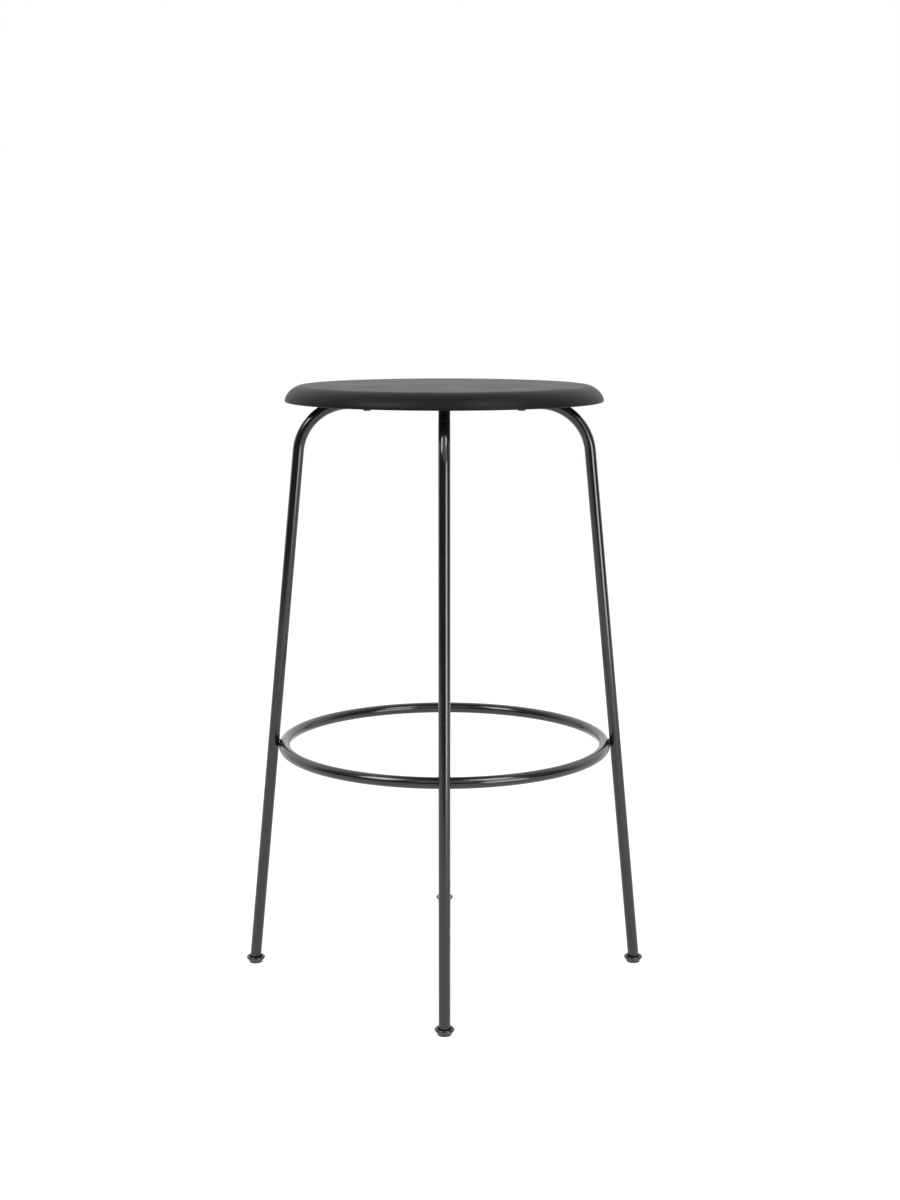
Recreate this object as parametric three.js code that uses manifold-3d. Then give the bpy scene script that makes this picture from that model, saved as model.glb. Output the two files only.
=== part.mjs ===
// Bar stool: a round padded seat on four bent tube legs, with a ring footrest welded inside
// the legs and a small tilting glide under each leg.
// Millimetres, +Z up, origin on the floor under the middle of the seat.
// The front leg points along -Y and the right leg along +X.

import * as THREE from 'three';
import { mergeVertices } from 'three/addons/utils/BufferGeometryUtils.js';
import Module from 'manifold-3d';

const wasm = await Module();
wasm.setup();

// Driving dimensions.
const STOOL_HEIGHT = 740;
const SEAT_RADIUS = 195.4;
const SEAT_DEPTH = 20.8;          // middle of the crown down to the lowest line of the rim
const CROWN_RISE = 1;             // middle of the crown above the start of the rounded edge
const EDGE_SPAN = 20;             // width of the rounded upper edge
const EDGE_POWER = 1.65;          // superellipse exponent of that edge
const RIM_ROUND = 1.5;
const TUBE_RADIUS = 7;
const TUBE_WALL = 1.5;
const TUBE_RECESS = 4.15;         // top of the leg tubes above the lowest line of the rim
const LEG_SPREAD = 243.9;         // leg axis from the middle of the stool, at floor level
const LEG_SLOPE = 0.0971;         // inward travel of a leg for each unit of height
const BEND_RADIUS = 64.3;
const RING_HEIGHT = 289.7;
const SCREW_CIRCLE = 95;          // seat screws from the middle of the stool
const BALL_HEIGHT = 9.5;          // ball joint of a glide above the floor
const GLIDE_RIM_RADIUS = 11.8;
const PIECE_GAP = 0.3;            // clearance between pieces that touch

// Sizes of the seat's layers.
const LEATHER = 1.2;
const DUST_COVER = 0.8;
const BOARD = 9;
const BOARD_RADIUS = 176;
const HEM_RADIUS = 150;           // inner edge of the leather under the board
const DUST_COVER_RADIUS = HEM_RADIUS - PIECE_GAP;
const LIP_WIDTH = 11;             // flat bottom of the padded lip
const LIP_SLOPE = 6;              // run of the slope from the lip up to the board
const CROWN_FLAT_RADIUS = 60;

// Heights that follow.
const RIM_Z = STOOL_HEIGHT - SEAT_DEPTH;
const RUN_Z = RIM_Z + TUBE_RECESS - TUBE_RADIUS;
const TUBE_TOP_Z = RUN_Z + TUBE_RADIUS;
const TUBE_BOTTOM_Z = RUN_Z - TUBE_RADIUS;
const DUST_Z = TUBE_TOP_Z + PIECE_GAP;
const BOARD_Z = DUST_Z + DUST_COVER + PIECE_GAP;
const HEM_Z = BOARD_Z - PIECE_GAP - LEATHER;

// Numbers of facets.
const SEAT_FACETS = 40;
const RING_FACETS = 48;
const TUBE_FACETS = 12;
const BORE_FACETS = 12;
const SMALL_FACETS = 12;
const GLIDE_FACETS = 16;

const leather = new THREE.MeshStandardMaterial({ color: 0x2e2e30, roughness: 0.5, metalness: 0 });
const foam = new THREE.MeshStandardMaterial({ color: 0xd9d2bd, roughness: 0.95, metalness: 0 });
const plywood = new THREE.MeshStandardMaterial({ color: 0xb8935f, roughness: 0.7, metalness: 0 });
const nonwoven = new THREE.MeshStandardMaterial({ color: 0x1c1c1d, roughness: 0.95, metalness: 0 });
const powderCoat = new THREE.MeshStandardMaterial({ color: 0x28282a, roughness: 0.42, metalness: 0.1 });
const zincSteel = new THREE.MeshStandardMaterial({ color: 0xb4b6b8, roughness: 0.35, metalness: 1 });
const blackScrew = new THREE.MeshStandardMaterial({ color: 0x2a2a2c, roughness: 0.4, metalness: 0.8 });
const nylon = new THREE.MeshStandardMaterial({ color: 0x1b1b1c, roughness: 0.5, metalness: 0 });
const glossPlastic = new THREE.MeshStandardMaterial({ color: 0x202022, roughness: 0.25, metalness: 0 });
const solePlastic = new THREE.MeshStandardMaterial({ color: 0x343331, roughness: 0.6, metalness: 0 });

const stool = new THREE.Group();

// Adds a named piece with its own copy of a finish.
function addPiece(parent, name, geometry, finish) {
  const mesh = new THREE.Mesh(geometry, finish.clone());
  mesh.name = name;
  parent.add(mesh);
  return mesh;
}

// A body of revolution about Z from [radius, height] points, counter-clockwise.
function turned(profile, facets) {
  const points = profile.map(([radius, height]) => new THREE.Vector2(radius, height));
  return new THREE.LatheGeometry(points, facets).rotateX(Math.PI / 2);
}

// Points on an arc in a profile, angles in radians.
function arc(centreR, centreZ, radius, from, to, steps) {
  const points = [];
  for (let i = 0; i <= steps; i++) {
    const angle = from + (to - from) * i / steps;
    points.push([centreR + radius * Math.cos(angle), centreZ + radius * Math.sin(angle)]);
  }
  return points;
}

// A regular polygon of points standing in for a circle.
function circle(radius, facets, centreX = 0, centreY = 0) {
  const points = [];
  for (let i = 0; i < facets; i++) {
    const angle = 2 * Math.PI * i / facets;
    points.push(new THREE.Vector2(centreX + radius * Math.cos(angle), centreY + radius * Math.sin(angle)));
  }
  return points;
}

// A flat disc with round holes at the four seat screws.
function drilledDisc(radius, holeRadius, z, thickness) {
  const outline = new THREE.Shape(circle(radius, SEAT_FACETS));
  for (const [x, y] of [[1, 0], [0, 1], [-1, 0], [0, -1]]) {
    outline.holes.push(new THREE.Path(circle(holeRadius, SMALL_FACETS, SCREW_CIRCLE * x, SCREW_CIRCLE * y)));
  }
  const disc = new THREE.ExtrudeGeometry(outline, { depth: thickness, bevelEnabled: false });
  return disc.translate(0, 0, z);
}

// A closed geometry as a solid that can be cut.
function toSolid(geometry) {
  const bare = geometry.clone();
  bare.deleteAttribute('normal');
  bare.deleteAttribute('uv');
  const merged = mergeVertices(bare);
  return new wasm.Manifold(new wasm.Mesh({
    numProp: 3,
    vertProperties: new Float32Array(merged.attributes.position.array),
    triVerts: new Uint32Array(merged.index.array),
  }));
}

// A cut solid back as a geometry.
function toGeometry(solid) {
  const mesh = solid.getMesh();
  const geometry = new THREE.BufferGeometry();
  geometry.setAttribute('position', new THREE.BufferAttribute(mesh.vertProperties, 3));
  geometry.setIndex(new THREE.BufferAttribute(mesh.triVerts, 1));
  geometry.computeVertexNormals();
  return geometry;
}

// The seat's section from the lip's foot outwards, up the side and in over the crown,
// moved inwards by an inset. Each point moves along the bisector of its two edges.
function seatSection(inset) {
  const edgeStart = SEAT_RADIUS - EDGE_SPAN;
  const edgeTop = STOOL_HEIGHT - CROWN_RISE;
  const edgeBottom = RIM_Z + RIM_ROUND;
  const edgeSteps = 6;
  const lipInner = SEAT_RADIUS - RIM_ROUND - LIP_WIDTH;
  const section = [
    [HEM_RADIUS, HEM_Z],
    [lipInner - LIP_SLOPE, HEM_Z],
    [lipInner, RIM_Z],
    ...arc(SEAT_RADIUS - RIM_ROUND, edgeBottom, RIM_ROUND, -Math.PI / 2, 0, 2),
  ];
  for (let i = 1; i <= edgeSteps; i++) {
    const angle = Math.PI / 2 * i / edgeSteps;
    section.push([
      edgeStart + EDGE_SPAN * Math.cos(angle) ** (2 / EDGE_POWER),
      edgeBottom + (edgeTop - edgeBottom) * Math.sin(angle) ** (2 / EDGE_POWER),
    ]);
  }
  section.push([CROWN_FLAT_RADIUS, STOOL_HEIGHT]);
  section.push([0, STOOL_HEIGHT]);
  return section.map(([radius, height], i) => {
    const [r0, z0] = section[Math.max(i - 1, 0)];
    const [r1, z1] = section[Math.min(i + 1, section.length - 1)];
    const before = new THREE.Vector2(radius - r0, height - z0).normalize();
    const after = new THREE.Vector2(r1 - radius, z1 - height).normalize();
    const along = before.clone().add(after).normalize();
    const isEnd = i === 0 || i === section.length - 1;
    const reach = isEnd ? inset : inset / Math.sqrt((1 + before.dot(after)) / 2);
    return radius === 0 ? [0, height - inset] : [radius - reach * along.y, height + reach * along.x];
  });
}

// Leather skin, drawn round the padded edge and ending as a hem under the board.
function seatCover() {
  const inner = seatSection(LEATHER);
  return turned([...inner.reverse(), ...seatSection(0)], SEAT_FACETS);
}

// Moulded foam pad over the board, hanging past its edge as a lip.
function seatFoam() {
  const boardTop = BOARD_Z + BOARD + PIECE_GAP;
  const boardEdge = BOARD_RADIUS + PIECE_GAP;
  const outside = seatSection(LEATHER + PIECE_GAP).slice(1);
  return turned([[0, boardTop], [boardEdge, boardTop], [boardEdge, BOARD_Z], ...outside], SEAT_FACETS);
}

addPiece(stool, 'seat_cover', seatCover(), leather);
addPiece(stool, 'seat_foam', seatFoam(), foam);
const INSERT_RADIUS = 4.5;
addPiece(stool, 'seat_board', drilledDisc(BOARD_RADIUS, INSERT_RADIUS + PIECE_GAP, BOARD_Z, BOARD), plywood);
addPiece(stool, 'dust_cover', drilledDisc(DUST_COVER_RADIUS, INSERT_RADIUS, DUST_Z, DUST_COVER), nonwoven);

// A leg's centre line from its foot, up the straight, round the bend and in along the run.
class LegPath extends THREE.Curve {
  constructor(stations) {
    super();
    this.stations = stations;
  }

  station(u) {
    return this.stations[Math.round(u * (this.stations.length - 1))];
  }

  getPointAt(u, target = new THREE.Vector3()) {
    return target.copy(this.station(u).point);
  }

  getTangentAt(u, target = new THREE.Vector3()) {
    return target.copy(this.station(u).tangent);
  }
}

const LEG_LEAN = Math.atan(LEG_SLOPE);

// Distance of a leg's axis from the middle of the stool at a height on its straight part.
function legRadius(z) {
  return LEG_SPREAD - LEG_SLOPE * z;
}

const TUBE_END_Z = 6;             // middle of a leg's cut lower end
const BEND_STEPS = 9;

function legPath() {
  const turn = Math.PI / 2 - LEG_LEAN;
  const bendX = legRadius(RUN_Z) - BEND_RADIUS * Math.tan(turn / 2);
  const bendZ = RUN_Z - BEND_RADIUS;
  const up = new THREE.Vector3(-Math.sin(LEG_LEAN), 0, Math.cos(LEG_LEAN));
  const stations = [{ point: new THREE.Vector3(legRadius(TUBE_END_Z), 0, TUBE_END_Z), tangent: up }];
  for (let i = 0; i <= BEND_STEPS; i++) {
    const angle = LEG_LEAN + turn * i / BEND_STEPS;
    const out = new THREE.Vector3(Math.cos(angle), 0, Math.sin(angle));
    stations.push({
      point: new THREE.Vector3(bendX, 0, bendZ).addScaledVector(out, BEND_RADIUS),
      tangent: new THREE.Vector3(-Math.sin(angle), 0, Math.cos(angle)),
    });
  }
  const pastMiddle = -2 * TUBE_RADIUS;
  stations.push({ point: new THREE.Vector3(pastMiddle, 0, RUN_Z), tangent: new THREE.Vector3(-1, 0, 0) });
  return new LegPath(stations);
}

const SCREW_RADIUS = 3;
const SCREW_HEAD = 1.8;           // height of a seat screw's low head

// Removes all but a 90 degree point, so that the four runs meet as a mitred cross.
function mitreCutter() {
  const reach = 4 * TUBE_RADIUS;
  const tip = PIECE_GAP / Math.SQRT2;
  const outline = new THREE.Shape([
    new THREE.Vector2(tip, 0),
    new THREE.Vector2(tip + reach, reach),
    new THREE.Vector2(-reach, reach),
    new THREE.Vector2(-reach, -reach),
    new THREE.Vector2(tip + reach, -reach),
  ]);
  const cutter = new THREE.ExtrudeGeometry(outline, { depth: reach, bevelEnabled: false });
  return toSolid(cutter.translate(0, 0, RUN_Z - reach / 2));
}

// A leg: bent round tube, mitred at the top and drilled through for its seat screw.
function legTube() {
  const path = legPath();
  const section = new THREE.Shape(circle(TUBE_RADIUS, TUBE_FACETS));
  section.holes.push(new THREE.Path(circle(TUBE_RADIUS - TUBE_WALL, BORE_FACETS)));
  const steps = path.stations.length - 1;
  const tube = new THREE.ExtrudeGeometry(section, { steps, extrudePath: path });
  const drill = new THREE.CylinderGeometry(
    SCREW_RADIUS + PIECE_GAP, SCREW_RADIUS + PIECE_GAP, 3 * TUBE_RADIUS, BORE_FACETS);
  drill.rotateX(Math.PI / 2).translate(SCREW_CIRCLE, 0, RUN_Z);
  return toGeometry(toSolid(tube).subtract(mitreCutter()).subtract(toSolid(drill)));
}

const VENT_RADIUS = 1.5;

// The footrest: a tube rolled to a ring, welded inside the legs, with a small vent hole.
function footRing() {
  const reach = (2 * TUBE_RADIUS + PIECE_GAP) / Math.cos(LEG_LEAN);
  const ringRadius = legRadius(RING_HEIGHT) - reach;
  const outer = turned(arc(ringRadius, RING_HEIGHT, TUBE_RADIUS, 0, 2 * Math.PI, TUBE_FACETS), RING_FACETS);
  const bore = turned(
    arc(ringRadius, RING_HEIGHT, TUBE_RADIUS - TUBE_WALL, 0, 2 * Math.PI, BORE_FACETS), RING_FACETS);
  const vent = new THREE.CylinderGeometry(VENT_RADIUS, VENT_RADIUS, 2 * TUBE_RADIUS, SMALL_FACETS);
  vent.rotateX(Math.PI / 2);
  const ventPlace = ringRadius * Math.SQRT1_2;
  vent.translate(ventPlace, ventPlace, RING_HEIGHT - TUBE_RADIUS);
  return toGeometry(toSolid(outer).subtract(toSolid(bore)).subtract(toSolid(vent)));
}

addPiece(stool, 'foot_ring', footRing(), powderCoat);

// Flanged sleeve with the screw's thread, pressed into the board.
function threadedInsert() {
  const bore = SCREW_RADIUS + PIECE_GAP;
  const setBack = 1;
  const length = BOARD - setBack;
  return turned([
    [bore, 0],
    [INSERT_RADIUS, 0],
    [INSERT_RADIUS, length],
    [bore, length],
    [bore, 0],
  ], SMALL_FACETS);
}

// Low-head screw with a hexagon socket, from under the tube up into the insert.
function seatScrew() {
  const headRadius = 5.25;
  const crownRadius = 2.9;
  const shoulderRadius = 4.6;
  const shoulderZ = 0.6;
  const edgeZ = 1.3;
  const socketRadius = 2.2;
  const socketDepth = 1.6;
  const shankLength = 22;
  const tipChamfer = 1;
  const top = SCREW_HEAD + shankLength;
  return turned([
    [0, socketDepth],
    [socketRadius, socketDepth],
    [socketRadius, 0],
    [crownRadius, 0],
    [shoulderRadius, shoulderZ],
    [headRadius, edgeZ],
    [headRadius, SCREW_HEAD],
    [SCREW_RADIUS, SCREW_HEAD],
    [SCREW_RADIUS, top - tipChamfer],
    [SCREW_RADIUS - tipChamfer, top],
    [0, top],
  ], SMALL_FACETS);
}

const BALL_RADIUS = 3;
const STUD_RADIUS = 1.6;
const PAD_HEIGHT = 1.5;
const PAD_RADIUS = 8.3;
const PAD_FLARE = 0.5;            // the pad widens upwards by this much
const DISH_FLOOR_Z = 4;
const RIVET_RADIUS = 3;
const RIVET_SEAT_Z = 2.8;         // shoulder under the dish that the rivet head pulls against

// Plug pressed into the tube's end, with the socket for the ball at its own origin.
function glidePlug() {
  const radius = TUBE_RADIUS - TUBE_WALL - PIECE_GAP;
  const socket = BALL_RADIUS + PIECE_GAP;
  const mouthZ = -2;
  const bottomZ = -3;
  const topZ = 15;
  const tipTaper = 1.5;
  return turned([
    ...arc(0, 0, socket, Math.PI / 2, Math.asin(mouthZ / socket), 5),
    [socket, bottomZ],
    [radius, bottomZ],
    [radius, topZ - tipTaper],
    [radius - tipTaper, topZ],
    [0, topZ],
  ], SMALL_FACETS);
}

// Ball stud, riveted through the floor of the dish.
function glideStud() {
  const headBottom = PAD_HEIGHT + PIECE_GAP;
  const headTop = RIVET_SEAT_Z - PIECE_GAP;
  const collarBottom = DISH_FLOOR_Z + PIECE_GAP;
  const collarThickness = 0.6;
  const collarTop = collarBottom + collarThickness;
  const collarRadius = 2.6;
  const neck = Math.acos(STUD_RADIUS / BALL_RADIUS);
  return turned([
    [0, headBottom],
    [RIVET_RADIUS, headBottom],
    [RIVET_RADIUS, headTop],
    [STUD_RADIUS, headTop],
    [STUD_RADIUS, collarBottom],
    [collarRadius, collarBottom],
    [collarRadius, collarTop],
    [STUD_RADIUS, collarTop],
    ...arc(0, BALL_HEIGHT, BALL_RADIUS, -neck, Math.PI / 2, 5),
  ], SMALL_FACETS);
}

// Dish of the glide: a cup with a thick rounded rim that stands close round the leg's end.
function glideFoot() {
  const bottom = PAD_HEIGHT + PIECE_GAP;
  const rimRadius = 1.7;
  const rimR = GLIDE_RIM_RADIUS - rimRadius;
  const rimZ = 6.6;
  const bellyR = 10;
  const bellyZ = 3.3;
  const counterbore = RIVET_RADIUS + PIECE_GAP;
  const hole = STUD_RADIUS + PIECE_GAP;
  return turned([
    [hole, RIVET_SEAT_Z],
    [counterbore, RIVET_SEAT_Z],
    [counterbore, bottom],
    [PAD_RADIUS + PAD_FLARE, bottom],
    [bellyR, bellyZ],
    ...arc(rimR, rimZ, rimRadius, -Math.PI / 6, Math.PI, 7),
    [rimR - rimRadius, DISH_FLOOR_Z],
    [hole, DISH_FLOOR_Z],
    [hole, RIVET_SEAT_Z],
  ], GLIDE_FACETS);
}

// Sole of the glide, the only piece that touches the floor.
function glidePad() {
  const edgeChamfer = 0.3;
  return turned([
    [0, 0],
    [PAD_RADIUS - edgeChamfer, 0],
    [PAD_RADIUS, edgeChamfer],
    [PAD_RADIUS + PAD_FLARE, PAD_HEIGHT],
    [0, PAD_HEIGHT],
  ], GLIDE_FACETS);
}

const legSides = [['front', -90], ['right', 0], ['back', 90], ['left', 180]];
for (const [side, degrees] of legSides) {
  const quarter = new THREE.Group();
  quarter.rotation.z = THREE.MathUtils.degToRad(degrees);
  stool.add(quarter);

  addPiece(quarter, `leg_${side}`, legTube(), powderCoat);
  const screw = addPiece(quarter, `seat_screw_${side}`, seatScrew(), blackScrew);
  screw.position.set(SCREW_CIRCLE, 0, TUBE_BOTTOM_Z - PIECE_GAP - SCREW_HEAD);
  const insert = addPiece(quarter, `threaded_insert_${side}`, threadedInsert(), zincSteel);
  insert.position.set(SCREW_CIRCLE, 0, BOARD_Z);

  const ballX = legRadius(BALL_HEIGHT);
  const plug = addPiece(quarter, `glide_plug_${side}`, glidePlug(), nylon);
  plug.position.set(ballX, 0, BALL_HEIGHT);
  plug.rotation.y = -LEG_LEAN;
  const glide = new THREE.Group();
  glide.position.x = ballX;
  quarter.add(glide);
  addPiece(glide, `glide_stud_${side}`, glideStud(), zincSteel);
  addPiece(glide, `glide_foot_${side}`, glideFoot(), glossPlastic);
  addPiece(glide, `glide_pad_${side}`, glidePad(), solePlastic);
}

export default stool;
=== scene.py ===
import math
import random

import bmesh
import bpy
from mathutils import Matrix, Vector


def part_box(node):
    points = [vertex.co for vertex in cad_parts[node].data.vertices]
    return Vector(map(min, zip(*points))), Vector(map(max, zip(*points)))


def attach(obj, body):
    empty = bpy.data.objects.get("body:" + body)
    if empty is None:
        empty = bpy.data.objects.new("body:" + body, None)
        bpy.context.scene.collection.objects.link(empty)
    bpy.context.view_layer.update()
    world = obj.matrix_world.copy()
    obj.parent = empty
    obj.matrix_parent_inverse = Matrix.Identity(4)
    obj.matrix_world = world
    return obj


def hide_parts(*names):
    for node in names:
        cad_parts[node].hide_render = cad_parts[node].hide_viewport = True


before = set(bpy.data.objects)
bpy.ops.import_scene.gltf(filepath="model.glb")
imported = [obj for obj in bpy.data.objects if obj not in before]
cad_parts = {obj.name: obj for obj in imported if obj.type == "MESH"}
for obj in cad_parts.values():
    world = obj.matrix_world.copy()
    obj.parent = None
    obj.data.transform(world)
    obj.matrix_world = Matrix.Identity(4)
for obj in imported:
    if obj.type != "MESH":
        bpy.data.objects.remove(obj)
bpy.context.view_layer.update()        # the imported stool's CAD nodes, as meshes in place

# ---------------------------------------------------------------------------
# Camera: a portrait frame from 2.3 m away and a little above the seat, turned
# slightly down, so the seat shows as a thin disc and the foot ring as an oval.

camera_data = bpy.data.cameras.new("studio_camera")
camera_data.lens = 56.5
camera_data.sensor_width = 36.0
camera = bpy.data.objects.new("studio_camera", camera_data)
camera.location = (0.0007, -2.3207, 0.8518)
camera.rotation_euler = (math.radians(90.0 - 9.301), 0.0, math.radians(-0.155))
bpy.context.collection.objects.link(camera)
bpy.context.scene.camera = camera

# ---------------------------------------------------------------------------
# Seat cover: one hide of smooth black leather pulled tight over the pad, round
# its soft edge and on under the board, where it ends as a gathered hem.

MM = 0.001
seat_low, seat_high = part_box("seat_cover")
SEAT_RADIUS = (seat_high[0] - seat_low[0]) / 2
SEAT_TOP = seat_high[2]
RIM_Z = seat_low[2]
BOARD_LOW, BOARD_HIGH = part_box("seat_board")
LEATHER_THICKNESS = 1.2 * MM
PIECE_GAP = 0.3 * MM


def linear(hex_colour):
    """A colour written as sRGB hex, turned to the linear values that shaders take."""
    channels = [int(hex_colour[i:i + 2], 16) / 255 for i in (1, 3, 5)]
    return [c / 12.92 if c <= 0.04045 else ((c + 0.055) / 1.055) ** 2.4 for c in channels] + [1.0]


def add_node(owner, kind, links=None, **settings):
    """Adds a node to a material or a world.

    links maps its sockets to values or to other nodes' outputs, and settings are its own.
    """
    node = owner.node_tree.nodes.new(kind)
    for name, value in settings.items():
        setattr(node, name, value)
    for socket, value in (links or {}).items():
        if isinstance(value, bpy.types.NodeSocket):
            owner.node_tree.links.new(value, node.inputs[socket])
        else:
            node.inputs[socket].default_value = value
    return node


def new_material(name):
    """A material with only its principled shader and output, and the coordinates that its patterns use."""
    material = bpy.data.materials.new(name)
    material.use_nodes = True
    shader = material.node_tree.nodes["Principled BSDF"]
    place = add_node(material, "ShaderNodeTexCoord").outputs["Object"]
    return material, shader, place


def colour_and_relief(material, shader, shading, dark, light, relief, strength, depth):
    """Colours a surface between two tones by one pattern and raises it, in mm, by another."""
    shade = add_node(
        material, "ShaderNodeMixRGB",
        {"Fac": shading, "Color1": linear(dark), "Color2": linear(light)})
    bump = add_node(
        material, "ShaderNodeBump", {"Height": relief, "Strength": strength, "Distance": depth * MM})
    material.node_tree.links.new(shade.outputs["Color"], shader.inputs["Base Color"])
    material.node_tree.links.new(bump.outputs["Normal"], shader.inputs["Normal"])
    return bump


def per_mm(size):
    """Pattern scale that makes one feature this many millimetres wide."""
    return 1.0 / (size * MM)


def make_leather():
    # Pigmented leather, lightly embossed: pebbles of 1.3 mm under a satin top coat. The eye
    # sees a soft, even black with a wide pale sheen where it is seen edge-on. Real pores are
    # about 0.1 mm, and are drawn at 0.7 mm so that they show.
    material, shader, place = new_material("black_leather_embossed")
    grain = add_node(
        material, "ShaderNodeTexVoronoi", {"Vector": place, "Scale": per_mm(1.3)}, feature="SMOOTH_F1")
    pores = add_node(
        material, "ShaderNodeTexNoise", {"Vector": place, "Scale": per_mm(0.7), "Detail": 3.0})
    hide = add_node(material, "ShaderNodeTexNoise", {"Vector": place, "Scale": per_mm(45), "Detail": 2.0})
    dull = add_node(
        material, "ShaderNodeMapRange",
        {"Value": hide.outputs["Fac"], "From Min": 0.3, "From Max": 0.7, "To Min": 0.42, "To Max": 0.47})
    fine = add_node(
        material, "ShaderNodeBump",
        {"Height": pores.outputs["Fac"], "Strength": 0.1, "Distance": 0.06 * MM})
    material.node_tree.links.new(dull.outputs["Result"], shader.inputs["Roughness"])
    pebble = colour_and_relief(
        material, shader, hide.outputs["Fac"], "#0b0b0c", "#121213", grain.outputs["Distance"], 0.4, 0.15)
    material.node_tree.links.new(fine.outputs["Normal"], pebble.inputs["Normal"])
    shader.inputs["IOR"].default_value = 1.19
    return material


CREASE_ANGLE = math.radians(40)      # edges bent by more than this stay crisp


def finish_piece(mesh_object, material, body):
    """Smooths a piece, gives it its material, and lets it ride on a body."""
    for face in mesh_object.data.polygons:
        face.use_smooth = True
    mesh_object.data.set_sharp_from_angle(angle=CREASE_ANGLE)
    mesh_object.data.materials.clear()
    mesh_object.data.materials.append(material)
    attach(mesh_object, body)
    return mesh_object


def piece_from(mesh, name):
    """Writes a finished bmesh out as a new piece in the scene."""
    data = bpy.data.meshes.new(name)
    mesh.to_mesh(data)
    mesh.free()
    piece = bpy.data.objects.new(name, data)
    bpy.context.collection.objects.link(piece)
    return piece


def join_rings(mesh, low, high):
    """Faces between two rings of vertices; a ring of one vertex is a tip."""
    sides = max(len(low), len(high))
    for i in range(sides):
        j = (i + 1) % sides
        corners = [low[i % len(low)], low[j % len(low)], high[j % len(high)], high[i % len(high)]]
        corners = list(dict.fromkeys(corners))
        if len(corners) > 2:
            mesh.faces.new(corners)


def revolve(name, profile, sides, centre=(0.0, 0.0), swell=None):
    """A piece turned about a vertical axis from (radius, height) points, counter-clockwise.

    A profile that starts and ends on the axis is closed there; any other is joined end to start.
    swell(radius, height, angle) may move a point in height.
    """
    mesh = bmesh.new()
    rings = []
    for radius, height in profile:
        count = 1 if radius < 1e-9 else sides
        ring = []
        for i in range(count):
            angle = 2 * math.pi * i / sides
            lift = swell(radius, height, angle) if swell else 0.0
            x = centre[0] + radius * math.cos(angle)
            y = centre[1] + radius * math.sin(angle)
            ring.append(mesh.verts.new((x, y, height + lift)))
        rings.append(ring)
    closes_on_axis = len(rings[0]) == 1 and len(rings[-1]) == 1
    spans = list(zip(rings, rings[1:])) + ([] if closes_on_axis else [(rings[-1], rings[0])])
    for low, high in spans:
        join_rings(mesh, low, high)
    return piece_from(mesh, name)


def round_corner(centre_r, centre_z, radius, start, end, steps):
    """Points on an arc of a profile, angles in degrees."""
    angles = [math.radians(start + (end - start) * i / steps) for i in range(steps + 1)]
    return [(centre_r + radius * math.cos(a), centre_z + radius * math.sin(a)) for a in angles]


HEM_RADIUS = 150 * MM                # inner edge of the hem under the board
LIP_FOOT = SEAT_RADIUS - 18.5 * MM   # where the flat underside ends
LIP_EDGE = SEAT_RADIUS - 12.5 * MM   # where the slope reaches the bottom of the lip
HEM_Z = BOARD_LOW[2] - PIECE_GAP - LEATHER_THICKNESS


def seat_section():
    """The outside of the cover, from its hem outwards, round the rim and in over the crown."""
    hem_steps = 12
    slope_steps = 8
    edge_steps = 28
    crown_steps = 14
    lip_middle = SEAT_RADIUS - 7 * MM
    rim_round = 1.5 * MM
    edge_span = 20 * MM
    edge_power = 1.65
    crown_rise = 1 * MM
    edge_low = RIM_Z + rim_round
    edge_high = SEAT_TOP - crown_rise
    points = [(HEM_RADIUS + (LIP_FOOT - HEM_RADIUS) * i / hem_steps, HEM_Z) for i in range(hem_steps)]
    for i in range(slope_steps + 1):
        share = i / slope_steps
        ease = (1 - math.cos(math.pi * share)) / 2
        points.append((LIP_FOOT + (LIP_EDGE - LIP_FOOT) * share, HEM_Z + (RIM_Z - HEM_Z) * ease))
    points.append((lip_middle, RIM_Z))
    points += round_corner(SEAT_RADIUS - rim_round, edge_low, rim_round, -90, 0, 6)
    for i in range(1, edge_steps + 1):
        angle = math.pi / 2 * i / edge_steps
        points.append((
            SEAT_RADIUS - edge_span + edge_span * math.cos(angle) ** (2 / edge_power),
            edge_low + (edge_high - edge_low) * math.sin(angle) ** (2 / edge_power)))
    crown_radius = SEAT_RADIUS - edge_span
    for i in range(1, crown_steps + 1):
        radius = crown_radius * (1 - i / crown_steps)
        points.append((radius, edge_high + crown_rise * (1 - (radius / crown_radius) ** 2)))
    return points


def inset(points, depth):
    """A section moved inwards, each point along the bisector of its two edges."""
    moved = []
    for i, (radius, height) in enumerate(points):
        before = Vector(points[max(i - 1, 0)])
        after = Vector(points[min(i + 1, len(points) - 1)])
        along = (after - before).normalized()
        if radius < 1e-9:
            moved.append((0.0, height - depth))
        else:
            moved.append((radius - depth * along.y, height + depth * along.x))
    return moved


pleats = random.Random(7)
PLEAT_COUNT = 44
PLEAT_HEIGHT = 0.9 * MM
PLEAT_HALF_WIDTH = 0.2               # share of the way from one pleat to the next
PLEAT_FADE = 4 * MM                  # a pleat dies away over this much at the hem's edge
HEM_REACH = 2 * MM                   # the leather this close to the hem's face is pleated
pleat_shift = [pleats.uniform(-0.25, 0.25) for _ in range(PLEAT_COUNT)]
pleat_depth = [pleats.uniform(0.5, 1.0) for _ in range(PLEAT_COUNT)]


def pleat(radius, height, angle):
    """Lift of the hem where the leather is gathered into small folds under the board."""
    if radius > LIP_EDGE or height > HEM_Z + HEM_REACH:
        return 0.0
    place = angle / (2 * math.pi) * PLEAT_COUNT
    k = int(place) % PLEAT_COUNT
    across = place - int(place) - 0.5 - pleat_shift[k]
    fold = max(0.0, 1 - (across / PLEAT_HALF_WIDTH) ** 2) ** 2
    outer_fade = min(1.0, (LIP_EDGE - radius) / (LIP_EDGE - LIP_FOOT))
    inner_fade = min(1.0, (radius - HEM_RADIUS) / PLEAT_FADE + 0.5)
    return -PLEAT_HEIGHT * fold * pleat_depth[k] * outer_fade * inner_fade


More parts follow.
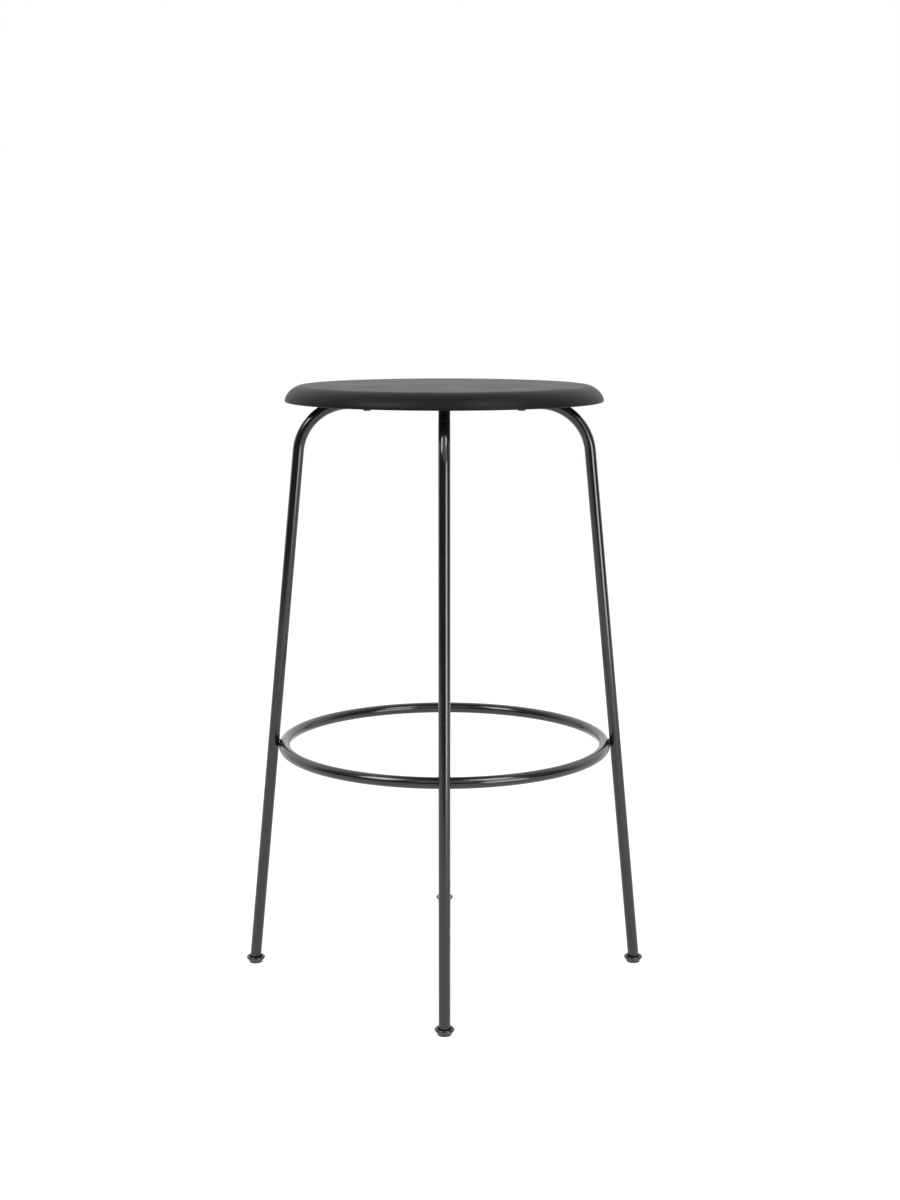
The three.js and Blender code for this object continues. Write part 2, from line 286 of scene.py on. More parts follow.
leather = make_leather()
outside = seat_section()
skin = inset(outside, LEATHER_THICKNESS)[::-1] + outside
cover = revolve("seat_cover_leather", skin, sides=384, swell=pleat)
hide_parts("seat_cover")
finish_piece(cover, leather, "stool")

# ---------------------------------------------------------------------------
# Foam pad: moulded polyurethane, 5 mm over the board and thicker round its edge,
# where it hangs down as the lip. The leather hides it.


def make_foam():
    # Open-cell foam with a moulded skin: cream, matt, with cells of about 0.8 mm.
    material, shader, place = new_material("polyurethane_foam_moulded")
    cells = add_node(material, "ShaderNodeTexVoronoi", {"Vector": place, "Scale": per_mm(0.8)})
    pattern = cells.outputs["Distance"]
    colour_and_relief(material, shader, pattern, "#cfc7b0", "#e2dcca", pattern, 0.5, 0.2)
    shader.inputs["Roughness"].default_value = 0.92
    return material


BOARD_RADIUS = (BOARD_HIGH[0] - BOARD_LOW[0]) / 2
board_gap = BOARD_RADIUS + PIECE_GAP
foam_base = BOARD_HIGH[2] + PIECE_GAP
foam_outside = inset(outside, LEATHER_THICKNESS + PIECE_GAP)
foam_outside = [point for point in foam_outside if point[0] > board_gap or point[1] > BOARD_HIGH[2]]
foam_section = [(0.0, foam_base), (board_gap, foam_base), (board_gap, BOARD_LOW[2])]
foam_pad = revolve("seat_foam_pad", foam_section + foam_outside, sides=192)
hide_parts("seat_foam")
finish_piece(foam_pad, make_foam(), "stool")

# ---------------------------------------------------------------------------
# Seat board: a 9 mm disc of birch plywood inside the pad, routed to shape and drilled
# for the four threaded inserts.


def make_plywood():
    # Rotary-cut birch veneer, sanded but not varnished: pale, with long soft grain on the
    # faces, and the edge shows its 3 mm plies as light and dark bands. One band of the wave
    # texture is close to 1 / (2 pi) of a unit wide.
    material, shader, place = new_material("birch_plywood_sanded")
    stretched = add_node(material, "ShaderNodeMapping", {"Vector": place, "Scale": (0.12, 1.0, 1.0)})
    grain = add_node(
        material, "ShaderNodeTexNoise",
        {"Vector": stretched.outputs["Vector"], "Scale": per_mm(9), "Detail": 6.0, "Distortion": 0.6})
    plies = add_node(
        material, "ShaderNodeTexWave",
        {"Vector": place, "Scale": per_mm(3) / (2 * math.pi), "Distortion": 0.4}, bands_direction="Z")
    face = add_node(
        material, "ShaderNodeMixRGB",
        {"Fac": grain.outputs["Fac"], "Color1": linear("#a98152"), "Color2": linear("#d3ae7c")})
    edge = add_node(
        material, "ShaderNodeMixRGB",
        {"Fac": plies.outputs["Fac"], "Color1": linear("#7d5731"), "Color2": linear("#cda673")})
    normal = add_node(material, "ShaderNodeNewGeometry")
    split = add_node(material, "ShaderNodeSeparateXYZ", {"Vector": normal.outputs["Normal"]})
    flat = add_node(material, "ShaderNodeMath", {0: split.outputs["Z"]}, operation="ABSOLUTE")
    colour = add_node(
        material, "ShaderNodeMixRGB",
        {"Fac": flat.outputs["Value"], "Color1": edge.outputs["Color"], "Color2": face.outputs["Color"]})
    bump = add_node(
        material, "ShaderNodeBump",
        {"Height": grain.outputs["Fac"], "Strength": 0.15, "Distance": 0.1 * MM})
    material.node_tree.links.new(colour.outputs["Color"], shader.inputs["Base Color"])
    material.node_tree.links.new(bump.outputs["Normal"], shader.inputs["Normal"])
    shader.inputs["Roughness"].default_value = 0.68
    return material


SIDES = {"front": (0.0, -1.0), "right": (1.0, 0.0), "back": (0.0, 1.0), "left": (-1.0, 0.0)}
screw_low, screw_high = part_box("seat_screw_right")
SCREW_CIRCLE = (screw_low[0] + screw_high[0]) / 2


def drilled_disc(name, radius, hole_radius, low, high, bevel):
    """A flat disc with four round holes, cut from a filled outline and softened along its edges."""
    outline = bpy.data.curves.new(name, "CURVE")
    outline.dimensions = "2D"
    outline.fill_mode = "BOTH"
    outline.extrude = (high - low) / 2 - bevel
    outline.bevel_depth = bevel
    outline.bevel_resolution = 2
    outline.offset = -bevel
    outline.resolution_u = 24
    handle = 4 / 3 * math.tan(math.pi / 8)
    loops = [(Vector((0, 0, 0)), radius)]
    loops += [(Vector((x, y, 0)) * SCREW_CIRCLE, hole_radius) for x, y in SIDES.values()]
    for centre, loop_radius in loops:
        spline = outline.splines.new("BEZIER")
        spline.bezier_points.add(3)
        spline.use_cyclic_u = True
        for i, point in enumerate(spline.bezier_points):
            angle = math.pi / 2 * i
            spot = centre + loop_radius * Vector((math.cos(angle), math.sin(angle), 0))
            along = Vector((-math.sin(angle), math.cos(angle), 0)) * handle * loop_radius
            point.co = spot
            point.handle_left = spot - along
            point.handle_right = spot + along
    shape = bpy.data.objects.new(name, outline)
    bpy.context.collection.objects.link(shape)
    shape.location.z = (low + high) / 2
    bpy.context.view_layer.update()
    data = bpy.data.meshes.new_from_object(shape.evaluated_get(bpy.context.evaluated_depsgraph_get()))
    data.transform(shape.matrix_world)
    bpy.data.objects.remove(shape)
    mesh = bmesh.new()
    mesh.from_mesh(data)
    bpy.data.meshes.remove(data)
    bmesh.ops.remove_doubles(mesh, verts=mesh.verts, dist=1e-6)
    bmesh.ops.recalc_face_normals(mesh, faces=mesh.faces)
    return piece_from(mesh, name)


insert_low, insert_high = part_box("threaded_insert_right")
INSERT_RADIUS = (insert_high[1] - insert_low[1]) / 2
board = drilled_disc(
    "seat_board_plywood", BOARD_RADIUS, INSERT_RADIUS + PIECE_GAP,
    BOARD_LOW[2], BOARD_HIGH[2], bevel=0.6 * MM)
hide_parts("seat_board")
finish_piece(board, make_plywood(), "stool")

# ---------------------------------------------------------------------------
# Dust cover: a disc of black spun-bonded cloth, glued flat under the board inside the
# leather's hem, so that no plywood shows from below. The four screws pass through it.


def make_nonwoven():
    # Spun-bonded polypropylene, thermally point-bonded: matt, with a faint dimple every 2 mm.
    material, shader, place = new_material("polypropylene_nonwoven")
    bonds = add_node(
        material, "ShaderNodeTexVoronoi", {"Vector": place, "Scale": per_mm(2), "Randomness": 0.1})
    fibres = add_node(
        material, "ShaderNodeTexNoise",
        {"Vector": place, "Scale": per_mm(0.9), "Detail": 5.0, "Distortion": 2.0})
    colour_and_relief(
        material, shader, fibres.outputs["Fac"], "#111112", "#2a2a2b", bonds.outputs["Distance"], 0.6, 0.15)
    shader.inputs["Roughness"].default_value = 0.95
    shader.inputs["Sheen Weight"].default_value = 0.1
    return material


dust_low, dust_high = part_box("dust_cover")
DUST_RADIUS = (dust_high[0] - dust_low[0]) / 2
dust_cover = drilled_disc(
    "dust_cover_cloth", DUST_RADIUS, INSERT_RADIUS, dust_low[2], dust_high[2], bevel=0.2 * MM)
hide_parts("dust_cover")
finish_piece(dust_cover, make_nonwoven(), "stool")

# ---------------------------------------------------------------------------
# Legs: four lengths of 14 mm round steel tube, each bent once, mitred together under
# the middle of the seat and welded, then powder coated black with the foot ring.


def make_powder_coat():
    # Semi-gloss polyester powder, sprayed and baked on steel: near black, with a fine
    # orange-peel ripple of about 2 mm that softens the edges of each reflection.
    material, shader, place = new_material("steel_powder_coated_black")
    ripple = add_node(
        material, "ShaderNodeTexNoise", {"Vector": place, "Scale": per_mm(2.2), "Detail": 2.0})
    cloud = add_node(
        material, "ShaderNodeTexNoise", {"Vector": place, "Scale": per_mm(60), "Detail": 2.0})
    gloss = add_node(
        material, "ShaderNodeMapRange",
        {"Value": cloud.outputs["Fac"], "From Min": 0.3, "From Max": 0.7, "To Min": 0.13, "To Max": 0.17})
    material.node_tree.links.new(gloss.outputs["Result"], shader.inputs["Roughness"])
    colour_and_relief(
        material, shader, cloud.outputs["Fac"], "#0f0f10", "#151516", ripple.outputs["Fac"], 0.12, 0.05)
    shader.inputs["IOR"].default_value = 1.52
    return material


TUBE_RADIUS = 7 * MM
TUBE_WALL = 1.5 * MM
BEND_RADIUS = 64.3 * MM
LEG_SLOPE = 0.0971
LEG_LEAN = math.atan(LEG_SLOPE)
RUN_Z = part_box("leg_right")[1][2] - TUBE_RADIUS
stud_low, stud_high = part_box("glide_stud_right")
BALL_RADIUS = 3 * MM
BALL_X = (stud_low[0] + stud_high[0]) / 2
BALL_Z = stud_high[2] - BALL_RADIUS
TUBE_END_Z = 6 * MM                  # middle of a leg's cut lower end
BORE_DEPTH = 12 * MM                 # the glide's plug fills the tube above this


def leg_radius(height):
    """Distance of a leg's straight axis from the middle of the stool."""
    return BALL_X + LEG_SLOPE * (BALL_Z - height)


def leg_stations():
    """Centre line of a leg that points along +X: (point, direction) from the cut end to the mitre."""
    turn = math.pi / 2 - LEG_LEAN
    centre = Vector((leg_radius(RUN_Z) - BEND_RADIUS * math.tan(turn / 2), 0, RUN_Z - BEND_RADIUS))
    up = Vector((-math.sin(LEG_LEAN), 0, math.cos(LEG_LEAN)))
    foot = Vector((leg_radius(TUBE_END_Z), 0, TUBE_END_Z))
    bend_start = centre + BEND_RADIUS * Vector((math.cos(LEG_LEAN), 0, math.sin(LEG_LEAN)))
    straight_steps = 24
    bend_steps = 40
    stations = [(foot.lerp(bend_start, i / straight_steps), up) for i in range(straight_steps)]
    for i in range(bend_steps + 1):
        angle = LEG_LEAN + turn * i / bend_steps
        out = Vector((math.cos(angle), 0, math.sin(angle)))
        stations.append((centre + BEND_RADIUS * out, Vector((-math.sin(angle), 0, math.cos(angle)))))
    return stations


def leg_tube(name, side, sides=48):
    """A hollow leg, cut square with softened edges below and mitred to a right angle above."""
    across = Vector((0, 1, 0))
    turned = Matrix.Rotation(math.atan2(SIDES[side][1], SIDES[side][0]), 4, "Z")
    mesh = bmesh.new()
    stations = leg_stations()
    foot, up = stations[0]
    edge = 0.35 * MM
    layers = [(point, direction, TUBE_RADIUS) for point, direction in stations]
    layers[0] = (foot + up * edge, up, TUBE_RADIUS)
    bore = TUBE_RADIUS - TUBE_WALL
    lip = [
        (foot + up * BORE_DEPTH, up, bore),
        (foot + up * edge, up, bore),
        (foot, up, bore + edge),
        (foot, up, TUBE_RADIUS - edge)]
    rings = []
    for point, direction, radius in lip + layers:
        outward = direction.cross(across).normalized()
        ring = []
        for i in range(sides):
            angle = 2 * math.pi * i / sides
            spot = point + radius * (outward * math.cos(angle) + across * math.sin(angle))
            ring.append(mesh.verts.new(turned @ spot))
        rings.append(ring)
    mitre = []
    for i in range(sides):
        angle = 2 * math.pi * i / sides
        side_step = TUBE_RADIUS * math.sin(angle)
        spot = Vector((abs(side_step) + PIECE_GAP, side_step, RUN_Z + TUBE_RADIUS * math.cos(angle)))
        mitre.append(mesh.verts.new(turned @ spot))
    rings.append(mitre)
    for low, high in zip(rings, rings[1:]):
        join_rings(mesh, low, high)
    mesh.faces.new(mitre)
    mesh.faces.new(rings[0][::-1])
    bmesh.ops.recalc_face_normals(mesh, faces=mesh.faces)
    return piece_from(mesh, name)


powder_coat = make_powder_coat()
for side in SIDES:
    leg = leg_tube(f"leg_{side}_tube", side)
    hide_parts(f"leg_{side}")
    finish_piece(leg, powder_coat, "stool")

# ---------------------------------------------------------------------------
# Foot ring: the same tube rolled to a circle and butt welded, standing inside the
# legs at a third of the stool's height.

ring_low, ring_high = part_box("foot_ring")
RING_Z = (ring_low[2] + ring_high[2]) / 2
RING_RADIUS = ring_high[0] - TUBE_RADIUS
ring_section = round_corner(RING_RADIUS, RING_Z, TUBE_RADIUS, 0, 360, 48)[:-1]
foot_ring = revolve("foot_ring_tube", ring_section, sides=320)
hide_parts("foot_ring")
finish_piece(foot_ring, powder_coat, "stool")

# ---------------------------------------------------------------------------
# Welds: short gas-shielded fillets where the ring meets each leg, above and below
# the line of contact, and a bead along each seam of the mitred cross under the seat.


def weld_bead(name, path, radius, seed):
    """A bead laid along a path, thinning out at both ends, with the ripples of the moving puddle."""
    sides = 12
    end_size = 0.15
    ripple = 0.07
    ripple_turn = 2.1
    unevenness = 0.03
    waves = random.Random(seed)
    mesh = bmesh.new()
    rings = []
    for i, point in enumerate(path):
        along = (path[min(i + 1, len(path) - 1)] - path[max(i - 1, 0)]).normalized()
        first = along.orthogonal().normalized()
        second = along.cross(first)
        share = i / (len(path) - 1)
        swell = math.sqrt(max(0.0, 1 - (2 * share - 1) ** 4)) * (1 - end_size) + end_size
        wave = ripple * math.sin(i * ripple_turn) + waves.uniform(-unevenness, unevenness)
        size = radius * swell * (1 + wave)
        angles = [2 * math.pi * k / sides for k in range(sides)]
        spots = [point + size * (first * math.cos(a) + second * math.sin(a)) for a in angles]
        rings.append([mesh.verts.new(spot) for spot in spots])
    for low, high in zip(rings, rings[1:]):
        join_rings(mesh, low, high)
    mesh.faces.new(rings[0][::-1])
    mesh.faces.new(rings[-1])
    bmesh.ops.recalc_face_normals(mesh, faces=mesh.faces)
    return piece_from(mesh, name)


BEAD_STEPS = 24
FILLET_LENGTH = 9 * MM
FILLET_HEIGHT = 3.4 * MM
FILLET_RADIUS = 1.1 * MM
FILLET_SINK = 0.1 * MM               # the bead's middle lies this deep in the leg

for number, (side, (x, y)) in enumerate(SIDES.items()):
    outward = Vector((x, y, 0))
    sideways = Vector((-y, x, 0))
    contact = leg_radius(RING_Z) - TUBE_RADIUS / math.cos(LEG_LEAN)
    for place, height in (("upper", 1), ("lower", -1)):
        points = []
        for i in range(BEAD_STEPS + 1):
            across = (i / BEAD_STEPS - 0.5) * FILLET_LENGTH
            rise = height * (FILLET_HEIGHT - across ** 2 / (4 * TUBE_RADIUS))
            depth = contact - LEG_SLOPE * rise - FILLET_SINK
            points.append(outward * depth + sideways * across + Vector((0, 0, RING_Z + rise)))
        bead = weld_bead(f"ring_weld_{side}_{place}", points, FILLET_RADIUS, 10 * number + height)
        finish_piece(bead, powder_coat, "stool")

SEAM_RADIUS = 1.0 * MM
SEAM_START = math.radians(178)       # from the bottom of the tubes
SEAM_END = math.radians(72)          # to a little above the middle of their sides

for number, (side, (x, y)) in enumerate(SIDES.items()):
    diagonal = Vector((x - y, x + y, 0))
    seam = []
    for i in range(BEAD_STEPS + 1):
        angle = SEAM_START + (SEAM_END - SEAM_START) * i / BEAD_STEPS
        height = RUN_Z + TUBE_RADIUS * math.cos(angle)
        seam.append(diagonal * TUBE_RADIUS * math.sin(angle) + Vector((0, 0, height)))
    bead = weld_bead(f"cross_weld_{side}", seam, SEAM_RADIUS, 100 + number)
    finish_piece(bead, powder_coat, "stool")

# ---------------------------------------------------------------------------
# Seat screws: black-oxide M6 steel with a low round head and a hexagon socket, driven
# up through each leg's run into a zinc-plated insert in the board.


def make_black_oxide():
    # Heat-blackened alloy steel: dark, faintly blue, with an oily satin gloss.
    material, shader, place = new_material("steel_black_oxide")
    wear = add_node(material, "ShaderNodeTexNoise", {"Vector": place, "Scale": per_mm(1.2), "Detail": 4.0})
    pattern = wear.outputs["Fac"]
    colour_and_relief(material, shader, pattern, "#1d1e20", "#3a3b3e", pattern, 0.1, 0.05)
    shader.inputs["Metallic"].default_value = 0.85
    shader.inputs["Roughness"].default_value = 0.34
    return material


def make_zinc():
    # Bright zinc plating with a clear passivation: pale grey metal, slightly cloudy.
    material, shader, place = new_material("steel_zinc_plated")
    cloud = add_node(
        material, "ShaderNodeTexNoise", {"Vector": place, "Scale": per_mm(1.5), "Detail": 3.0})
    pattern = cloud.outputs["Fac"]
    colour_and_relief(material, shader, pattern, "#a9abad", "#c9cbcd", pattern, 0.08, 0.04)
    shader.inputs["Metallic"].default_value = 1.0
    shader.inputs["Roughness"].default_value = 0.32
    return material


black_oxide = make_black_oxide()
zinc = make_zinc()
HEAD_RADIUS = (screw_high[0] - screw_low[0]) / 2
HEAD_HEIGHT = 1.8 * MM
SHANK_RADIUS = 3 * MM


def socket_screw(name, x, y):
    """A low round head with a six-sided socket, on a shank with rolled threads."""
    socket = 2.0 * MM
    socket_depth = 1.6 * MM
    lead_in = 0.3 * MM
    crown_radius = 2.9 * MM
    crown_height = 0.78 * HEAD_HEIGHT
    crown_steps = 8
    plain_shank = 9 * MM
    pitch = 1 * MM
    thread_depth = 0.55 * MM
    tip_chamfer = 0.7 * MM
    slack = 0.1 * MM
    low = screw_low[2]
    floor_z = low + socket_depth
    thread_low = low + HEAD_HEIGHT + plain_shank
    profile = [(0.0, floor_z), (socket, floor_z), (socket, low + lead_in), (socket + lead_in, low)]
    for i in range(crown_steps + 1):
        angle = math.pi / 2 * i / crown_steps
        radius = crown_radius + (HEAD_RADIUS - crown_radius) * math.sin(angle)
        profile.append((radius, low + crown_height * (1 - math.cos(angle))))
    profile += [(HEAD_RADIUS, low + HEAD_HEIGHT), (SHANK_RADIUS, low + HEAD_HEIGHT)]
    turns = int((screw_high[2] - thread_low) / pitch) - 1
    for i in range(turns):
        z = thread_low + i * pitch
        profile += [(SHANK_RADIUS, z), (SHANK_RADIUS - thread_depth, z + pitch / 2)]
    profile += [(SHANK_RADIUS - tip_chamfer, screw_high[2]), (0.0, screw_high[2])]
    screw = revolve(name, profile, sides=48, centre=(x, y))
    for vertex in screw.data.vertices:
        offset = Vector((vertex.co.x - x, vertex.co.y - y))
        in_socket = vertex.co.z < floor_z + 1e-6 and offset.length < socket + slack
        if in_socket and offset.length > 1e-6:
            angle = math.atan2(offset.y, offset.x) % (math.pi / 3) - math.pi / 6
            reach = socket * math.cos(math.pi / 6) / math.cos(angle)
            offset = offset.normalized() * reach
            vertex.co.x = x + offset.x
            vertex.co.y = y + offset.y
    return screw


def finish_node(name, material):
    """Gives a piece that is carried over from the CAD its material."""
    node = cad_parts[name]
    node.data.materials.clear()
    node.data.materials.append(material)


for side, (x, y) in SIDES.items():
    screw = socket_screw(f"seat_screw_{side}_m6", x * SCREW_CIRCLE, y * SCREW_CIRCLE)
    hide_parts(f"seat_screw_{side}")
    finish_piece(screw, black_oxide, "stool")
    finish_node(f"threaded_insert_{side}", zinc)

# ---------------------------------------------------------------------------
# Staples: zinc-plated steel wire, shot in one row through the gathered hem into the
# board, near the hem's inner edge.

STAPLE_COUNT = 48
STAPLE_RADIUS = HEM_RADIUS + 8 * MM
STAPLE_DROP = 0.75 * MM              # lowest face of a crown below the hem
# The wire's path: share of the crown's length along it, and rise towards the board in mm.
WIRE_PATH = ((-0.5, 0.9), (-0.5, 0.25), (-0.44, 0.0), (0.44, 0.0), (0.5, 0.25), (0.5, 0.9))


def staple_row(name):
    """All the staples as one piece: each a bent wire, a little crooked, lying on the hem."""
    crooked = random.Random(3)
    wire = 0.55 * MM
    crown = 9 * MM
    angle_error = 0.006
    twist_error = 0.12
    mesh = bmesh.new()
    for k in range(STAPLE_COUNT):
        angle = 2 * math.pi * (k + 0.5) / STAPLE_COUNT + crooked.uniform(-angle_error, angle_error)
        twist = angle + math.pi / 2 + crooked.uniform(-twist_error, twist_error)
        reach_out = STAPLE_RADIUS + crooked.uniform(-1, 1) * MM
        middle = Vector((math.cos(angle), math.sin(angle), 0)) * reach_out
        along = Vector((math.cos(twist), math.sin(twist), 0))
        side = Vector((-along.y, along.x, 0))
        low = HEM_Z - STAPLE_DROP
        rings = []
        for reach, rise in WIRE_PATH:
            spot = middle + along * crown * reach + Vector((0, 0, low + rise * MM))
            if abs(reach) < 0.5:
                inward = Vector((0, 0, wire))
            else:
                inward = along * math.copysign(wire, -reach)
            rings.append([
                mesh.verts.new(spot - side * wire),
                mesh.verts.new(spot + side * wire),
                mesh.verts.new(spot + side * wire + inward),
                mesh.verts.new(spot - side * wire + inward)])
        for first, second in zip(rings, rings[1:]):
            join_rings(mesh, first, second)
        mesh.faces.new(rings[0][::-1])
        mesh.faces.new(rings[-1])
    bmesh.ops.recalc_face_normals(mesh, faces=mesh.faces)
    return piece_from(mesh, name)


staples = staple_row("hem_staples")
finish_piece(staples, zinc, "stool")

# ---------------------------------------------------------------------------
# Glides: a nylon plug in each tube's end holds a ball stud, and on it tilts a black
# moulded cup with a thick rounded rim, standing on a hard sole.


def make_dish_plastic():
    # Injection-moulded acetal with a polished rim: black and glossy, with a faint haze.
    material, shader, place = new_material("acetal_moulded_black")
    haze = add_node(material, "ShaderNodeTexNoise", {"Vector": place, "Scale": per_mm(3), "Detail": 3.0})
    pattern = haze.outputs["Fac"]
    colour_and_relief(material, shader, pattern, "#151516", "#1f1f21", pattern, 0.05, 0.05)
    shader.inputs["Roughness"].default_value = 0.14
    shader.inputs["IOR"].default_value = 1.48
    return material


def make_nylon():
    # Moulded nylon straight from a spark-eroded tool: black, matt and faintly grainy. The
    # tool's grain is about 0.05 mm, and is drawn at 0.5 mm so that it shows.
    material, shader, place = new_material("nylon_moulded_black")
    grain = add_node(
        material, "ShaderNodeTexNoise", {"Vector": place, "Scale": per_mm(0.5), "Detail": 3.0})
    pattern = grain.outputs["Fac"]
    colour_and_relief(material, shader, pattern, "#151516", "#232324", pattern, 0.25, 0.05)
    shader.inputs["Roughness"].default_value = 0.5
    return material


def make_sole():
    # Low-friction polyethylene sole, dark grey and scuffed in fine random scratches.
    material, shader, place = new_material("polyethylene_sole")
    scuffs = add_node(
        material, "ShaderNodeTexNoise",
        {"Vector": place, "Scale": per_mm(0.8), "Detail": 5.0, "Distortion": 3.0})
    pattern = scuffs.outputs["Fac"]
    colour_and_relief(material, shader, pattern, "#2a2927", "#45433f", pattern, 0.3, 0.05)
    shader.inputs["Roughness"].default_value = 0.6
    return material


dish_plastic = make_dish_plastic()
nylon = make_nylon()
sole_plastic = make_sole()
foot_low, foot_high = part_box("glide_foot_right")
PAD_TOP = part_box("glide_pad_right")[1][2]
PAD_RADIUS = 8.3 * MM
PAD_FLARE = 0.5 * MM                 # the sole widens upwards by this much
RIM_ROUNDING = 1.9 * MM
RIM_MIDDLE = foot_high[0] - BALL_X - RIM_ROUNDING
RIM_HEIGHT = 6.4 * MM                # middle of the rounded rim above the floor
DISH_FLOOR = 4 * MM
RIVET_RADIUS = 3 * MM
RIVET_SEAT = 2.8 * MM                # underside of the dish's floor, which the rivet grips
STUD_RADIUS = 1.6 * MM
COLLAR_RADIUS = 2.6 * MM
COLLAR_THICKNESS = 0.6 * MM
STUD_CHAMFER = 0.2 * MM              # on the rivet's head and on the collar
PAD_ROUNDING = 0.4 * MM
PAD_CHAMFER = 0.1 * MM
PAD_SET_BACK = 0.05 * MM
CUP_CHAMFER = 0.15 * MM
CUP_CHAMFER_HEIGHT = 0.25 * MM
# Radius and height in mm of the cup's outside, from the sole up to the rim.
CUP_SIDE = ((9.65, 2.75), (10.2, 3.55), (10.85, 4.6), (11.35, 5.5))
# Distance in mm inwards from the cup's wall and up from its floor, round the inner corner.
CUP_CORNER = ((0.0, 0.6), (0.2, 0.15), (0.7, 0.0))

for side, (x, y) in SIDES.items():
    body = f"glide_{side}"
    centre = (x * BALL_X, y * BALL_X)
    hole = STUD_RADIUS + PIECE_GAP
    counterbore = RIVET_RADIUS + PIECE_GAP
    pad_edge = PAD_RADIUS + PAD_FLARE
    cup_wall = RIM_MIDDLE - RIM_ROUNDING
    dish_profile = [
        (hole, RIVET_SEAT),
        (counterbore, RIVET_SEAT),
        (counterbore, foot_low[2]),
        (pad_edge - CUP_CHAMFER, foot_low[2]),
        (pad_edge + CUP_CHAMFER, foot_low[2] + CUP_CHAMFER_HEIGHT)]
    dish_profile += [(radius * MM, height * MM) for radius, height in CUP_SIDE]
    dish_profile += round_corner(RIM_MIDDLE, RIM_HEIGHT, RIM_ROUNDING, -22, 180, 16)
    dish_profile += [(cup_wall - inwards * MM, DISH_FLOOR + up * MM) for inwards, up in CUP_CORNER]
    dish_profile += [(hole, DISH_FLOOR)]
    dish = revolve(f"glide_foot_{side}_dish", dish_profile, sides=64, centre=centre)
    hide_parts(f"glide_foot_{side}")
    finish_piece(dish, dish_plastic, body)

    neck = math.degrees(math.acos(STUD_RADIUS / BALL_RADIUS))
    collar = DISH_FLOOR + PIECE_GAP
    collar_top = collar + COLLAR_THICKNESS
    stud_profile = [
        (0.0, stud_low[2]),
        (RIVET_RADIUS - STUD_CHAMFER, stud_low[2]),
        (RIVET_RADIUS, stud_low[2] + STUD_CHAMFER),
        (RIVET_RADIUS, RIVET_SEAT - PIECE_GAP),
        (STUD_RADIUS, RIVET_SEAT - PIECE_GAP),
        (STUD_RADIUS, collar),
        (COLLAR_RADIUS, collar),
        (COLLAR_RADIUS, collar_top - STUD_CHAMFER),
        (COLLAR_RADIUS - STUD_CHAMFER, collar_top),
        (STUD_RADIUS, collar_top)]
    stud_profile += round_corner(0.0, BALL_Z, BALL_RADIUS, -neck, 90, 12)[:-1] + [(0.0, stud_high[2])]
    stud = revolve(f"glide_stud_{side}_ball", stud_profile, sides=32, centre=centre)
    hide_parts(f"glide_stud_{side}")
    finish_piece(stud, zinc, body)

    pad_profile = [(0.0, 0.0), (PAD_RADIUS - PAD_ROUNDING, 0.0)]
    pad_profile += round_corner(PAD_RADIUS - PAD_ROUNDING, PAD_ROUNDING, PAD_ROUNDING, -75, 0, 4)
    pad_profile += [
        (pad_edge - PAD_SET_BACK, PAD_TOP - PAD_CHAMFER),
        (pad_edge - PAD_SET_BACK - PAD_CHAMFER, PAD_TOP),
        (0.0, PAD_TOP)]
    pad = revolve(f"glide_pad_{side}_sole", pad_profile, sides=64, centre=centre)
    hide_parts(f"glide_pad_{side}")
    finish_piece(pad, sole_plastic, body)

    finish_node(f"glide_plug_{side}", nylon)

# ---------------------------------------------------------------------------
# Studio: a white floor and white surroundings, with the camera's side left darker.
# Soft boxes to the left and right draw the thin streaks on the tubes, and a dim one
# between them lifts the seat's front edge.

FLOOR_FRONT = -3.0
FLOOR_BACK = 7.0
FLOOR_SIDE = 5.0
floor_mesh = bmesh.new()
floor_corners = [
    (-FLOOR_SIDE, FLOOR_FRONT), (FLOOR_SIDE, FLOOR_FRONT),
    (FLOOR_SIDE, FLOOR_BACK), (-FLOOR_SIDE, FLOOR_BACK)]
floor_mesh.faces.new([floor_mesh.verts.new((x, y, 0.0)) for x, y in floor_corners])
floor = piece_from(floor_mesh, "studio_floor")
floor_material, floor_shader = new_material("studio_floor_white_paper")[:2]
floor_shader.inputs["Base Color"].default_value = linear("#9c9c9c")
floor_shader.inputs["Roughness"].default_value = 0.9
floor_shader.inputs["Emission Color"].default_value = (1.0, 1.0, 1.0, 1.0)
floor_shader.inputs["Emission Strength"].default_value = 0.75
floor.data.materials.append(floor_material)

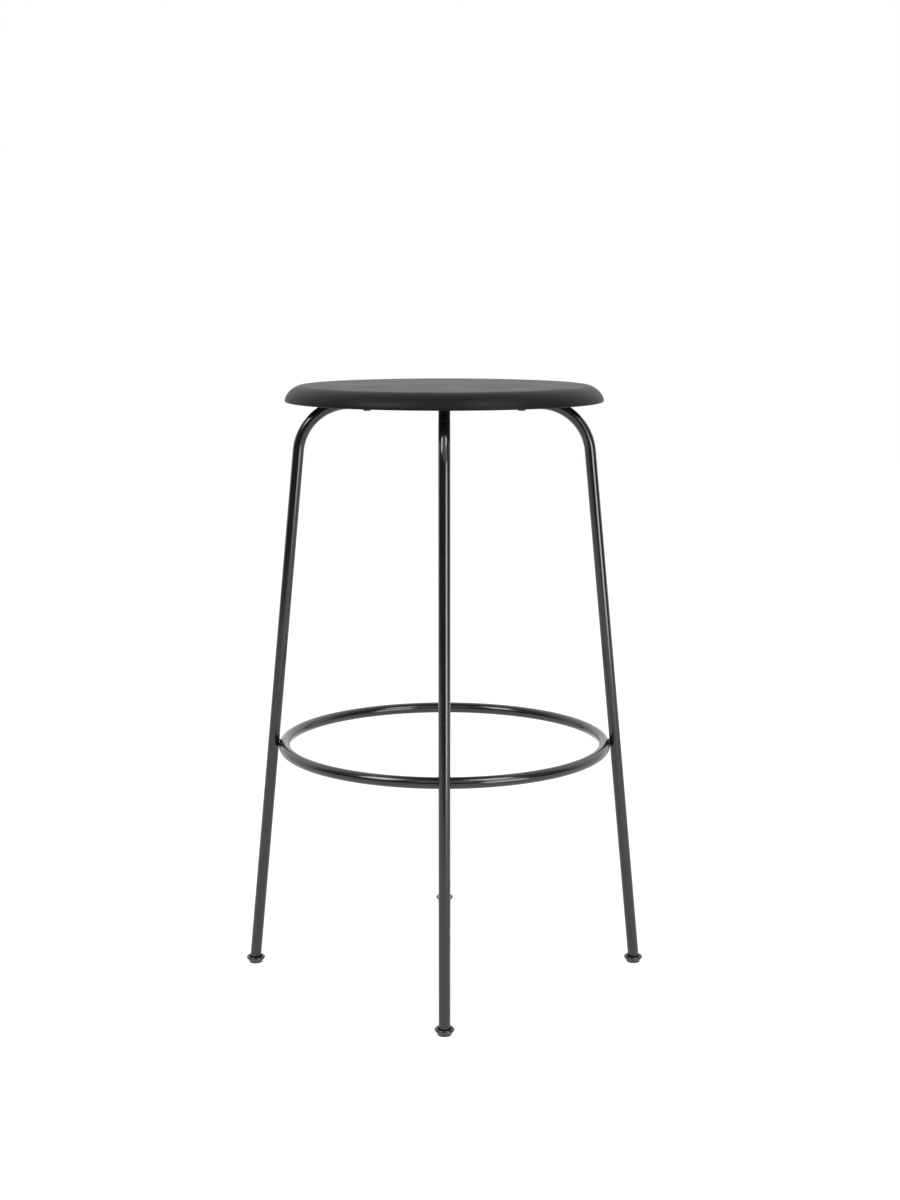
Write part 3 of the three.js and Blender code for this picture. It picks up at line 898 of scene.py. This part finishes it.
world = bpy.data.worlds.new("studio_surroundings")
bpy.context.scene.world = world
world.use_nodes = True
direction = add_node(world, "ShaderNodeTexCoord").outputs["Generated"]
depth = add_node(world, "ShaderNodeSeparateXYZ", {"Vector": direction})
walls = add_node(
    world, "ShaderNodeMapRange",
    {"Value": depth.outputs["Y"], "From Min": -0.1, "From Max": 0.35, "To Min": 0.04, "To Max": 1.15},
    interpolation_type="SMOOTHSTEP")
ceiling = add_node(
    world, "ShaderNodeMapRange",
    {"Value": depth.outputs["Z"], "From Min": 0.1, "From Max": 0.6, "To Min": 0.0, "To Max": 0.25},
    interpolation_type="SMOOTHSTEP")
glow = add_node(
    world, "ShaderNodeMath", {0: walls.outputs["Result"], 1: ceiling.outputs["Result"]}, operation="ADD")
shining = world.node_tree.nodes["Background"]
world.node_tree.links.new(glow.outputs["Value"], shining.inputs["Strength"])
shining.inputs["Color"].default_value = (1.0, 1.0, 1.0, 1.0)
backdrop = add_node(world, "ShaderNodeBackground", {"Color": (1.0, 1.0, 1.0, 1.0), "Strength": 1.0})
ray = add_node(world, "ShaderNodeLightPath").outputs["Is Camera Ray"]
seen = add_node(
    world, "ShaderNodeMixShader",
    {0: ray, 1: shining.outputs["Background"], 2: backdrop.outputs["Background"]})
world.node_tree.links.new(seen.outputs["Shader"], world.node_tree.nodes["World Output"].inputs["Surface"])


STOOL_MIDDLE = Vector((0.0, 0.0, 0.5))


def soft_box(name, place, size, radiance):
    """A rectangular soft box at a place, facing the middle of the stool, unseen by the camera."""
    data = bpy.data.lights.new(name, "AREA")
    data.shape = "RECTANGLE"
    data.size, data.size_y = size
    data.energy = radiance * math.pi * size[0] * size[1]
    light = bpy.data.objects.new(name, data)
    light.location = place
    aim = STOOL_MIDDLE - Vector(place)
    light.rotation_euler = aim.to_track_quat("-Z", "Y").to_euler()
    light.visible_camera = False
    bpy.context.collection.objects.link(light)


soft_box("soft_box_right_low", (1.95, -2.3, 0.5), (1.6, 0.95), 9.0)
soft_box("soft_box_right_middle", (1.95, -2.3, 1.75), (1.2, 1.5), 2.8)
soft_box("soft_box_right_high", (1.1, -1.25, 2.5), (1.0, 1.3), 9.0)
soft_box("soft_box_middle", (0.0, -2.1, 1.75), (1.6, 1.5), 1.1)
soft_box("soft_box_left", (-1.7, -1.4, 2.35), (1.0, 1.7), 11.0)

view_settings = bpy.context.scene.view_settings
view_settings.view_transform = "Standard"
view_settings.look = "None"
